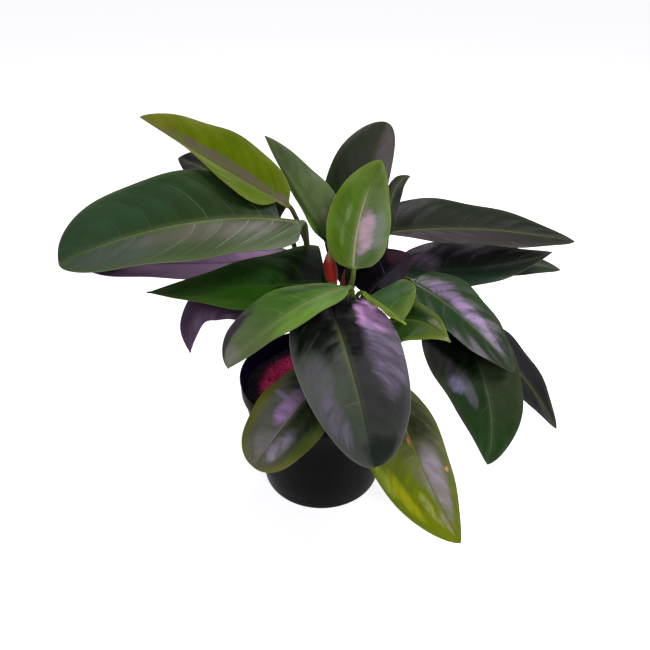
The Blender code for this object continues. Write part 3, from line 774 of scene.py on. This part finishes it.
def unit(vector):
    """The vector at length one."""
    return vector / np.linalg.norm(vector)


def ease(share):
    """Ease from 0 to 1."""
    share = np.clip(share, 0, 1)
    return share * share * (3 - 2 * share)


def turned(profile, sides):
    """Points and faces of a turned surface, from (radius, height, centre) stops.

    It is closed where its profile starts and ends at no radius. A height may be a function.
    """
    points = []
    rings = []
    for radius, height, centre in profile:
        count = sides if radius else 1
        start = len(points)
        rings.append([start + i % count for i in range(sides + 1)])
        for i in range(count):
            angle = 2 * math.pi * i / sides
            x = centre[0] + radius * math.cos(angle)
            y = centre[1] + radius * math.sin(angle)
            points.append((x, y, height(x, y) if callable(height) else height))
    faces = []
    for low, high in zip(rings, rings[1:]):
        for i in range(sides):
            corners = (low[i], low[i + 1], high[i + 1], high[i])
            faces.append(tuple(dict.fromkeys(corners)))
    return points, faces


# Leaves


def blade_stations(leaf, count):
    """Share, place, direction and upward side at stops along the midrib."""
    base, crest, tip = (np.array(place, float) for place in (leaf.base, leaf.crest, leaf.tip))
    bend = 2 * crest - (base + tip) / 2
    stations = []
    for i in range(count):
        share = (1 - math.cos(math.pi * i / (count - 1))) / 2
        rest = 1 - share
        place = rest ** 2 * base + 2 * share * rest * bend + share ** 2 * tip
        along = unit(rest * (bend - base) + share * (tip - bend))
        up = unit(np.array(leaf.face) - along * (along @ np.array(leaf.face)))
        turn = math.radians(leaf.twist * (share - 0.5))
        up = up * math.cos(turn) + np.cross(along, up) * math.sin(turn)
        stations.append((share, place, along, up))
    return stations


def stem_radius(height):
    """Radius of the stem, which narrows from the soil to its top."""
    share = (height - SOIL_LEVEL) / (STEM_TOP - SOIL_LEVEL)
    return STEM_RADIUS + (STEM_TOP_RADIUS - STEM_RADIUS) * min(max(share, 0), 1)


def stalk_stations(leaf, count, foot_of_blade):
    """The same along the stalk, from its root on the stem, with shares from -1 to 0."""
    _, base, blade_along, up = foot_of_blade
    angle = math.radians(leaf.root[0])
    outward = np.array([math.cos(angle), math.sin(angle), 0])
    height = leaf.root[1]
    root = np.array([*STEM_PLACE, height]) + outward * (stem_radius(height) + SEAT_GAP)
    reach = np.linalg.norm(base - root)
    rising = unit(outward * LEAVE_OUTWARDS + np.array([0, 0, LEAVE_UPWARDS]))
    leave = root + rising * reach * LEAVE_LENGTH
    arrive = base - blade_along * reach * leaf.lead
    stations = []
    for i in reversed(range(count)):
        share = i / count
        rest = 1 - share
        place = rest ** 3 * root + 3 * rest ** 2 * share * leave
        place = place + 3 * rest * share ** 2 * arrive + share ** 3 * base
        along = rest ** 2 * (leave - root) + 2 * rest * share * (arrive - leave)
        along = unit(along + share ** 2 * (base - arrive)) if i else outward
        up = unit(up - along * (up @ along))
        stations.append((share - 1, place, along, up))
    return stations[::-1]


def leaf_columns():
    """Stops across the blade: 0 at the midrib, 1 at its shoulder and 2 at the margin."""
    inner = np.linspace(0, 1, RIB_STEPS)
    outer = np.linspace(1, 2, BLADE_STEPS)[1:]
    right = np.concatenate([inner, outer])
    return np.concatenate([-right[:0:-1], right])


def leaf_length(leaf):
    """Rough length of the midrib."""
    base, crest, tip = (np.array(place, float) for place in (leaf.base, leaf.crest, leaf.tip))
    return np.linalg.norm(crest - base) + np.linalg.norm(tip - crest)


def outline(leaf, share):
    """Width of the blade's left and right half, as shares of their greatest widths."""
    cuts = []
    for heel, point, (start, stop) in zip(leaf.heel, leaf.point, leaf.span):
        local = np.clip((share - start) / (stop - start), 0, 1)
        peak = heel / (heel + point)
        widest = peak ** heel * (1 - peak) ** point
        cuts.append(local ** heel * (1 - local) ** point / widest)
    return cuts


def rib_radius(leaf, share):
    """Radius of the stalk, which thins towards the blade, and of the midrib after it."""
    radius = STALK_RADIUS * min(1, LEAST_STALK + sum(leaf.half) / WIDTH_PER_RADIUS)
    stalk = radius * (1 - ROOT_SWELL * share)
    midrib = radius * ((1 - np.clip(share, 0, 1)) ** RIB_TAPER + RIB_END)
    return np.where(share <= 0, stalk, midrib)


def vein_phase(leaf, share, edge, side):
    """A whole number on each side vein, and the numbers between on the skin between."""
    veins = leaf_length(leaf) / VEIN_SPACING
    wander = VEIN_WANDER * np.sin(9 * share + 2 * side + leaf.root[0]) * np.clip(edge * 3, 0, 1)
    return veins * (share - VEIN_LEAN * edge ** VEIN_BEND) + VEIN_STAGGER * side + wander


def vein_relief(leaf, share, edge, phase):
    """Height of the swell between two side veins, less the groove on each."""
    # The skin is even beside the midrib and the margin, and near the stalk and the tip
    body = ease(edge / 0.12) * ease((1 - edge) / 0.10)
    body = body * ease(share / 0.30) * ease((1 - share) / 0.08)
    distance = np.abs(phase - np.round(phase))
    groove = np.exp(-(distance / VEIN_GROOVE) ** 2) * body
    swell = -np.cos(2 * math.pi * phase) * edge * (1 - edge) * 4 * body
    size = min(1, sum(leaf.half) / FULL_RELIEF_WIDTH)
    return size * (FINISHES[leaf.node].quilt * swell - VEIN_DEPTH * groove)


def leaf_sections(leaf, share):
    """Upper and lower (sideways, height) grids of the whole leaf, and its surface numbers."""
    columns = leaf_columns()[None, :]
    share = share[:, None]
    side = np.sign(columns)
    rib = rib_radius(leaf, share)
    cut = np.where(columns < 0, *outline(leaf, np.clip(share, 1e-6, 1)))
    half = np.where(columns < 0, *leaf.half)
    # The blade is never narrower than its midrib
    reach = np.maximum(np.maximum(half * cut, 1.02 * rib), 0.9)
    shoulder = np.minimum(RIB_SHOULDER * rib, 0.6 * reach)
    inner = np.minimum(np.abs(columns), 1) * shoulder
    outer = np.maximum(np.abs(columns) - 1, 0) * (reach - shoulder)
    sideways = inner + outer
    edge = sideways / reach

    fold = np.radians(np.where(columns < 0, *leaf.fold))
    wave = WAVE_HEIGHT * edge ** 2 * np.sin(2 * math.pi * WAVES * share) * np.minimum(1, 1.2 * cut)
    lift = sideways * np.sin(fold) - EDGE_CURL * reach * edge ** 3 + wave * side
    across = sideways * np.cos(fold) * side
    dome = rib * np.clip(1 - (sideways / shoulder) ** 2, 0, 1)
    channel = CHANNEL_DEPTH * rib * np.exp(-(sideways / (CHANNEL_WIDTH * rib)) ** 2)
    phase = vein_phase(leaf, share, edge, side)
    relief = vein_relief(leaf, share, edge, phase)
    top_height = lift + RIB_RISE * dome + relief - channel
    under_height = lift - BLADE - dome + relief

    angles = np.linspace(math.pi - SEAM_ANGLE, SEAM_ANGLE, columns.size)[None, :]
    round_top = np.stack([rib * np.cos(angles), rib * np.sin(angles)], axis=2)
    round_under = round_top * (1, -1)
    spread = ease(share / BLADE_START)[:, :, None]
    top = round_top + (np.stack([across, top_height], axis=2) - round_top) * spread
    under = round_under + (np.stack([across, under_height], axis=2) - round_under) * spread
    numbers = {
        "offset": sideways * side,
        "inset": reach - sideways,
        "across": edge * side,
        "phase": phase,
        "along": share + 0 * sideways,
    }
    return top, under, numbers


def grid_faces(rings, columns):
    """Quads of the closed leaf: upper side, underside, both edges and both ends."""
    ring = 2 * columns
    faces = []
    for i in range(rings - 1):
        here, ahead = i * ring, (i + 1) * ring
        for j in range(columns - 1):
            a, b, c, d = here + j, here + j + 1, ahead + j + 1, ahead + j
            faces.append((a, b, c, d))
            faces.append((a + columns, d + columns, c + columns, b + columns))
        right, right_ahead = here + columns - 1, ahead + columns - 1
        faces.append((here, ahead, ahead + columns, here + columns))
        faces.append((right, right + columns, right_ahead + columns, right_ahead))
    end = (rings - 1) * ring
    for j in range(columns - 1):
        faces.append((j, j + columns, j + columns + 1, j + 1))
        faces.append((end + j, end + j + 1, end + j + columns + 1, end + j + columns))
    return faces


def build_leaf(leaf):
    """One leaf with its veins, from the same midrib and outline as its plain solid."""
    blade = blade_stations(leaf, BLADE_RINGS)
    stations = stalk_stations(leaf, STALK_RINGS, blade[0]) + blade
    share = np.array([station[0] for station in stations])
    place = np.array([station[1] for station in stations])
    along = np.array([station[2] for station in stations])
    up = np.array([station[3] for station in stations])
    side = np.cross(along, up)
    top, under, numbers = leaf_sections(leaf, share)
    rows = np.concatenate([top, under], axis=1)
    points = place[:, None] + side[:, None] * rows[:, :, :1] + up[:, None] * rows[:, :, 1:]
    columns = top.shape[1]
    faces = grid_faces(len(stations), columns)
    item = make_mesh(f"{leaf.node}_fine", points.reshape(-1, 3), faces, smooth_angle=60)
    for name, grid in numbers.items():
        add_attribute(item, name, np.concatenate([grid, grid], axis=1))
    above = np.ones_like(numbers["along"])
    add_attribute(item, "upper", np.concatenate([above, 0 * above], axis=1))
    item.data.materials.append(leaf_material(leaf, FINISHES[leaf.node]))
    stand_for(item, leaf.node)


# Pot, soil, stem and buds


def pot_radius(height):
    """Outer radius of the pot's tapered wall below its rim band."""
    foot = FOOT_DIAMETER / 2
    under_rim = RIM_DIAMETER / 2 - RIM_STEP
    return foot + (under_rim - foot) * height / (POT_HEIGHT - RIM_BAND)


def pot_material():
    """Thin black moulded plastic, a little scuffed, with a painted violet reflection inside the
    rim.
    """
    m = Skin("pot_plastic")
    place = m.place()
    inner = m.attribute("inner")
    cloud = m.noise(place, 24, 4)
    grain = m.noise(place, 900, 2)
    scuff = m.step(m.noise(place, 130, 6, 0.7), 0.58, 0.72)
    colour = m.mix(scuff * 0.25, paint(3, 3, 4), paint(15, 14, 17))
    # Painted reflection: the inner face is tinted violet like the lavender light
    colour = m.mix(inner * (0.3 + 0.6 * cloud), colour, paint(34, 18, 60))
    return m.finish(
        Base_Color=m.shade(colour, 0.75 + 0.5 * cloud),
        Roughness=0.36 + 0.18 * cloud + 0.2 * scuff,
        Normal=m.bump(grain + 0.6 * cloud, 0.00012, 0.5),
        Specular_IOR_Level=0.03,
        Specular_Tint=PLASTIC_SHEEN,
    )


def pot_profile():
    """(radius, height) stops from the middle of the underside to the middle of the floor."""
    rim = RIM_DIAMETER / 2
    band_foot = POT_HEIGHT - RIM_BAND
    profile = [(0, 0)] + [(pot_radius(0) - inward, up) for inward, up in FOOT_EDGE]
    profile += [(pot_radius(level), level) for level in (*WALL_LEVELS, band_foot - WALL_BELOW_BAND)]
    outward, down = BAND_CORNER
    profile.append((pot_radius(band_foot) + outward, band_foot - down))
    profile += [(rim - inward, band_foot + up) for inward, up in ABOVE_BAND_FOOT]
    inward, down = BELOW_LIP
    profile.append((rim - inward, POT_HEIGHT - down))
    for i in range(LIP_STEPS + 1):
        turn = -0.5 * math.pi + math.pi * i / LIP_STEPS
        height = POT_HEIGHT - 2 * LIP_RADIUS + LIP_RADIUS * (1 + math.sin(turn))
        profile.append((rim - LIP_RADIUS + LIP_RADIUS * math.cos(turn), height))
    inner = rim - 2 * LIP_RADIUS
    profile += [(inner - inward, POT_HEIGHT - down) for inward, down in INSIDE_LIP]
    inward, up = INSIDE_BAND_FOOT
    profile.append((inner - inward, band_foot + up))
    profile.append((pot_radius(band_foot) - POT_WALL, band_foot - RIM_STEP))
    return profile + [(pot_radius(POT_FLOOR) - POT_WALL, POT_FLOOR), (0, POT_FLOOR)]


def build_pot():
    """The pot with a rolled rim, stepped band, rounded foot and drain holes."""
    stops = [(radius, height, (0, 0)) for radius, height in pot_profile()]
    pot = make_mesh("pot_moulded", *turned(stops, POT_SIDES), smooth_angle=50)
    pot.data.materials.append(pot_material())
    drill_drain_holes(pot)
    mark_inner_face(pot)
    stand_for(pot, "pot")


def mark_inner_face(pot):
    """Keep a one for each point of the pot's inner face, and a nought for the others."""
    inner = []
    for vertex in pot.data.vertices:
        wide = math.hypot(vertex.co.x, vertex.co.y) / MM
        height = vertex.co.z / MM
        wall = pot_radius(height) - 0.5 * POT_WALL
        if height > POT_HEIGHT - RIM_BAND:
            wall = RIM_DIAMETER / 2 - INNER_FACE
        inner.append(float(wide < wall and height > 2 * POT_FLOOR))
    add_attribute(pot, "inner", inner)


def drill_drain_holes(pot):
    """Cut the round drain holes through the pot's floor."""
    points = []
    faces = []
    for i in range(DRAIN_HOLES):
        angle = 2 * math.pi * (i + 0.5) / DRAIN_HOLES
        centre = (DRAIN_CIRCLE / 2 * math.cos(angle), DRAIN_CIRCLE / 2 * math.sin(angle))
        radius = DRAIN_DIAMETER / 2
        low, high = -POT_FLOOR, 2 * POT_FLOOR
        bar = [(0, low, centre), (radius, low, centre), (radius, high, centre), (0, high, centre)]
        more_points, more_faces = turned(bar, DRAIN_SIDES)
        faces += [tuple(k + len(points) for k in face) for face in more_faces]
        points += more_points
    cutter = make_mesh("drain_cutter", points, faces)
    cut = pot.modifiers.new("drain holes", "BOOLEAN")
    cut.solver = "EXACT"
    cut.object = cutter
    view = bpy.context.evaluated_depsgraph_get()
    drilled = bpy.data.meshes.new_from_object(pot.evaluated_get(view))
    pot.modifiers.clear()
    pot.data = drilled
    bpy.data.objects.remove(cutter, do_unlink=True)


def soil_height(x, y):
    """Height of the soil's surface, heaped round the stem and lumpy, as in the construction."""
    away = ((x - STEM_PLACE[0]) ** 2 + (y - STEM_PLACE[1]) ** 2) / HEAP_SPREAD ** 2
    heap = SOIL_HEAP * math.exp(-away)
    lumps = math.sin(x / 7.1 + 0.6) * math.sin(y / 6.3 - 0.4) + 0.5 * math.sin(x / 3.9 - y / 4.7)
    return SOIL_LEVEL + heap + SOIL_BUMP * lumps


def soil_material():
    """Crimson brown potting mix, darker between its crumbs, with painted shade by the pot's wall.
    """
    m = Skin("soil_mix")
    place = m.place()
    lump = m.noise(place, 140, 5, 0.65)
    crumb = m.noise(place, 700, 4, 0.7)
    level = {0: place, 1: (1, 1, 0)}
    flat = m.node("ShaderNodeVectorMath", {"operation": "MULTIPLY"}, level).outputs[0]
    reach = m.node("ShaderNodeVectorMath", {"operation": "LENGTH"}, {0: flat}).outputs["Value"]
    # Painted shade: the soil darkens towards the pot's wall
    wall_shade = m.step(reach, WALL_SHADE_RING[0] * MM, WALL_SHADE_RING[1] * MM)
    colour = m.mix(m.step(lump, 0.35, 0.65), paint(184, 42, 92), paint(224, 60, 118))
    colour = m.mix(m.step(crumb, 0.56, 0.74) * 0.4, colour, paint(206, 84, 112))
    colour = m.mix(wall_shade, colour, paint(20, 10, 24))
    return m.finish(
        Base_Color=m.shade(colour, 0.60 + 0.7 * crumb),
        Roughness=0.88 - 0.15 * lump,
        Normal=m.bump(crumb + lump, 0.0012, 0.9),
        Specular_IOR_Level=0.25,
    )


def build_soil():
    """The soil's body, with a fine lumpy surface."""
    clear = POT_WALL + SEAT_GAP
    foot = POT_FLOOR + SEAT_GAP
    below_rim = POT_HEIGHT - RIM_BAND - RIM_STEP
    edge = pot_radius(below_rim) - clear
    profile = [(0, foot, (0, 0)), (pot_radius(foot) - clear, foot, (0, 0))]
    profile.append((edge, below_rim, (0, 0)))
    hole = STEM_RADIUS + SEAT_GAP
    for radius in np.linspace(edge - SOIL_EDGE, hole, SOIL_RINGS):
        share = (edge - radius) / (edge - hole)
        profile.append((radius, fine_soil, (STEM_PLACE[0] * share, STEM_PLACE[1] * share)))
    bottom = SOIL_LEVEL - STEM_HOLE_DEPTH
    profile += [(hole, bottom, STEM_PLACE), (0, bottom, STEM_PLACE)]
    soil = make_mesh("soil_body", *turned(profile, POT_SIDES), smooth_angle=60)
    soil.data.materials.append(soil_material())
    stand_for(soil, "soil")


def fine_soil(x, y):
    """The soil's surface with smaller lumps on it."""
    small = math.sin(x * 1.9 + 2 * math.sin(y * 0.7)) * math.sin(y * 1.7 + 1.5 * math.sin(x * 0.9))
    return soil_height(x, y) + FINE_LUMP * small


def crumb_ground(x, y):
    """The surface that the crumbs are strewn on, a little under the soil's."""
    return fine_soil(x, y) - CRUMB_SINK


def strew_crumbs(ground):
    """Turn a patch of ground into the crumbs that lie on it."""
    sizes = {
        "Crumbs per square metre": CRUMB_DENSITY,
        "Crumb size": CRUMB_SIZE * MM,
        "Smallest": SMALLEST_CRUMB,
        "Largest": LARGEST_CRUMB,
    }
    m = Shape("strewn crumbs", sizes)
    density = m.size("Crumbs per square metre")
    laid = {"Mesh": m.start.outputs["Ground"], "Density": density, "Seed": 7}
    points = m.node("GeometryNodeDistributePointsOnFaces", None, laid).outputs["Points"]
    ball = {"Radius": m.size("Crumb size"), "Subdivisions": 1}
    crumb = m.node("GeometryNodeMeshIcoSphere", None, ball).outputs["Mesh"]
    vector = {"data_type": "FLOAT_VECTOR"}
    any_way = {"Max": (6.28, 6.28, 6.28), "Seed": 3}
    turn = m.node("FunctionNodeRandomValue", vector, any_way).outputs[0]
    span = {"Min": m.size("Smallest"), "Max": m.size("Largest"), "Seed": 11}
    size = m.node("FunctionNodeRandomValue", vector, span).outputs[0]
    copies = {"Points": points, "Instance": crumb, "Rotation": turn, "Scale": size}
    strewn = m.node("GeometryNodeInstanceOnPoints", None, copies).outputs[0]
    m.run(ground, strewn, soil_material())


def build_crumbs():
    """Loose crumbs of potting mix over the soil, clear of the stem and the pot."""
    profile = []
    for i in range(CRUMB_RINGS):
        share = i / (CRUMB_RINGS - 1)
        radius = CRUMB_REACH + (CRUMB_CLEARANCE - CRUMB_REACH) * share
        profile.append((radius, crumb_ground, (STEM_PLACE[0] * share, STEM_PLACE[1] * share)))
    crumbs = make_mesh("soil_crumbs", *turned(profile, CRUMB_SIDES))
    strew_crumbs(crumbs)
    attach(crumbs, "root")


def stem_material():
    """Green stem, blotched with brown."""
    m = Skin("stem_skin")
    place = m.place()
    blotch = m.noise(place, 90, 4)
    colour = m.mix(m.step(blotch, 0.4, 0.62), paint(74, 78, 36), paint(66, 46, 34))
    return m.finish(
        Base_Color=m.shade(colour, 0.7 + 0.5 * m.noise(place, 500, 3)),
        Roughness=0.55 + 0.2 * blotch,
        Normal=m.bump(m.noise(place, 600, 3), 0.0003, 0.6),
    )


def build_stem():
    """The short stem, which tapers from the soil to its top and is ringed with leaf scars."""
    sizes = {
        "Foot": SOIL_LEVEL - STEM_HOLE_DEPTH + SEAT_GAP,
        "Soil": SOIL_LEVEL,
        "Top": STEM_TOP,
        "Radius": STEM_RADIUS,
        "Top radius": STEM_TOP_RADIUS,
        "Scar spacing": SCAR_SPACING,
        "Scar depth": SCAR_DEPTH,
        "Scar width": SCAR_WIDTH,
        "Crown": STEM_CROWN,
    }
    m = Shape("scarred stem", {name: size * MM for name, size in sizes.items()})
    foot, soil, top = (m.size(name) for name in ("Foot", "Soil", "Top"))
    x, y = (value * MM for value in STEM_PLACE)
    ends = {"Start": m.spot(x, y, foot), "End": m.spot(x, y, top)}
    line = m.node("GeometryNodeCurvePrimitiveLine", None, ends).outputs["Curve"]
    stops = {"Curve": line, "Count": STEM_RINGS}
    line = m.node("GeometryNodeResampleCurve", None, stops).outputs["Curve"]
    height = foot + (top - foot) * Field(m, m.node("GeometryNodeSplineParameter").outputs["Factor"])
    taper = m.maths("MAXIMUM", (height - soil) / (top - soil), 0)
    radius = m.size("Radius") + (m.size("Top radius") - m.size("Radius")) * taper
    turn = m.maths("FRACT", height / m.size("Scar spacing")) - 0.5
    groove = m.maths("MAXIMUM", 1 - abs(turn) * m.size("Scar spacing") / m.size("Scar width"), 0)
    closing = m.maths("MAXIMUM", 1 - (top - height) / m.size("Crown"), 0)
    radius = radius - m.size("Scar depth") * groove * groove
    radius = radius - 0.5 * m.size("Crown") * closing * closing
    circle = {"Resolution": STEM_SIDES, "Radius": 1.0}
    ring = m.node("GeometryNodeCurvePrimitiveCircle", None, circle).outputs["Curve"]
    swept = {"Curve": line, "Profile Curve": ring, "Scale": radius, "Fill Caps": True}
    stem = make_mesh("stem_scarred", [(0, 0, 0)], [])
    m.run(stem, m.node("GeometryNodeCurveToMesh", None, swept).outputs["Mesh"], stem_material())
    stem.data.shade_smooth()
    stem.data.set_sharp_from_angle(angle=math.radians(60))
    stand_for(stem, "stem")


class Bud(NamedTuple):
    """A pointed sheath that stands on the top of the stem."""

    node: str
    # Where it stands on the stem's top, and where its point ends
    foot: tuple
    point: tuple
    radius: float
    # Share of its height at which it is thickest
    fullest: float
    # Colours at its foot, its middle and its point, from 0 to 255
    low: tuple
    middle: tuple
    end: tuple


BUDS = (
    Bud("bud_sheath", (9, 5), (8, 13, 270), 7.6, 0.6, (60, 6, 8), (138, 26, 10), (176, 148, 108)),
    Bud("bud_scale", (19, 1), (23, 9, 252), 3.2, 0.35, (60, 22, 18), (96, 40, 30), (120, 74, 52)),
)


def bud_material(bud):
    """Satin sheath, deep red at its foot and pale at its point, faintly mottled."""
    m = Skin(f"{bud.node}_skin")
    along = m.attribute("along")
    place = m.place()
    streak = m.noise(place, 260, 3)
    colour = m.mix(m.step(along, 0.1, 0.6), paint(*bud.low), paint(*bud.middle))
    colour = m.mix(m.step(along, 0.8, 1.0), colour, paint(*bud.end))
    return m.finish(
        Base_Color=m.shade(colour, 0.75 + 0.5 * streak),
        Roughness=0.40 + 0.2 * streak,
        Normal=m.bump(streak, 0.0003, 0.5),
        Specular_IOR_Level=0.2,
    )


def bud_radius(bud, share):
    """Radius of a bud, which swells from a narrow foot and closes to its point."""
    beyond = max(share - bud.fullest, 0) / (1 - bud.fullest)
    return bud.radius * (0.55 + 0.45 * ease(share / bud.fullest)) * (1 - beyond ** 2) ** 0.9


def build_bud(bud):
    """A pointed sheath, with a shallow groove where the edge of its wrap lies."""
    sides = BUD_SIDES
    foot = np.array([*bud.foot, STEM_TOP + SEAT_GAP])
    point = np.array(bud.point, float)
    points = [foot]
    along = [0.0]
    for i in range(BUD_RINGS):
        share = i / BUD_RINGS
        centre = foot + (point - foot) * np.array([share ** 2, share ** 2, share])
        radius = bud_radius(bud, share)
        for k in range(sides):
            angle = 2 * math.pi * k / sides
            wrap = (angle - 1.5 * math.pi - WRAP_LEAN * share) / WRAP_WIDTH
            swell = radius * (1 - WRAP_DEPTH * math.exp(-wrap * wrap))
            points.append(centre + swell * np.array([math.cos(angle), math.sin(angle), 0]))
            along.append(share)
    points.append(point)
    along.append(1.0)
    faces = []
    last = len(points) - 1
    for k in range(sides):
        after = (k + 1) % sides
        faces.append((0, 1 + after, 1 + k))
        faces.append((last, last - sides + k, last - sides + after))
        for i in range(BUD_RINGS - 1):
            low = 1 + i * sides
            faces.append((low + k, low + after, low + sides + after, low + sides + k))
    item = make_mesh(f"{bud.node}_fine", points, faces)
    add_attribute(item, "along", along)
    item.data.materials.append(bud_material(bud))
    stand_for(item, bud.node)


# Studio


def build_floor():
    """A plain pale floor that fills the view."""
    ways = ((-1, -1), (1, -1), (1, 1), (-1, 1))
    corners = [(x * FLOOR_REACH, y * FLOOR_REACH, -FLOOR_DROP) for x, y in ways]
    floor = make_mesh("studio_floor", corners, [(0, 1, 2, 3)])
    m = Skin("studio_paper")
    pale = paint(240, 240, 242)
    floor.data.materials.append(m.finish(
        Base_Color=pale,
        Roughness=0.9,
        Specular_IOR_Level=0.1,
        Emission_Color=pale,
        Emission_Strength=FLOOR_GLOW,
    ))


def add_softbox(name, place, size, power, colour):
    """A square area light, placed and sized in millimetres, that looks at the plant."""
    light = bpy.data.lights.new(name, "AREA")
    light.shape = "SQUARE"
    light.size = size * MM
    light.energy = power
    light.color = colour
    lamp = bpy.data.objects.new(name, light)
    lamp.location = Vector(place) * MM
    lamp.rotation_euler = (Vector(LIT_PLACE) - Vector(place)).to_track_quat("-Z", "Y").to_euler()
    bpy.context.scene.collection.objects.link(lamp)


def build_lights():
    """Soft lavender lights overhead, and dim air all round."""
    world = bpy.data.worlds.new("studio_air")
    world.use_nodes = True
    air = world.node_tree.nodes["Background"]
    air.inputs["Color"].default_value = (0.95, 0.95, 1.0, 1)
    air.inputs["Strength"].default_value = AIR_GLOW
    bpy.context.scene.world = world
    for softbox in SOFTBOXES:
        add_softbox(*softbox)


def build_camera():
    """The photograph's viewpoint, in front of the plant and above it."""
    camera = bpy.data.cameras.new("photo_view")
    camera.sensor_fit = "HORIZONTAL"
    camera.sensor_width = SENSOR
    camera.lens = SENSOR * LENS_PIXELS / PICTURE
    camera.clip_start = 0.01
    camera.clip_end = 100
    elevation = math.radians(VIEW_ELEVATION)
    back = Vector((0, -math.cos(elevation), math.sin(elevation)))
    item = bpy.data.objects.new("photo_view", camera)
    item.location = (Vector(VIEW_TARGET) + back * VIEW_DISTANCE) * MM
    item.rotation_euler = (math.pi / 2 - elevation, 0, 0)
    bpy.context.scene.collection.objects.link(item)
    bpy.context.scene.camera = item
    bpy.context.scene.view_settings.view_transform = "Standard"


def write_sizes():
    """Bring the scene up to date."""
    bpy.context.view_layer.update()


def main():
    """Dress the plant and set up the studio."""
    build_camera()
    build_pot()
    build_soil()
    build_crumbs()
    build_stem()
    for bud in BUDS:
        build_bud(bud)
    for leaf in LEAVES:
        build_leaf(leaf)
    build_floor()
    build_lights()
    write_sizes()


main()
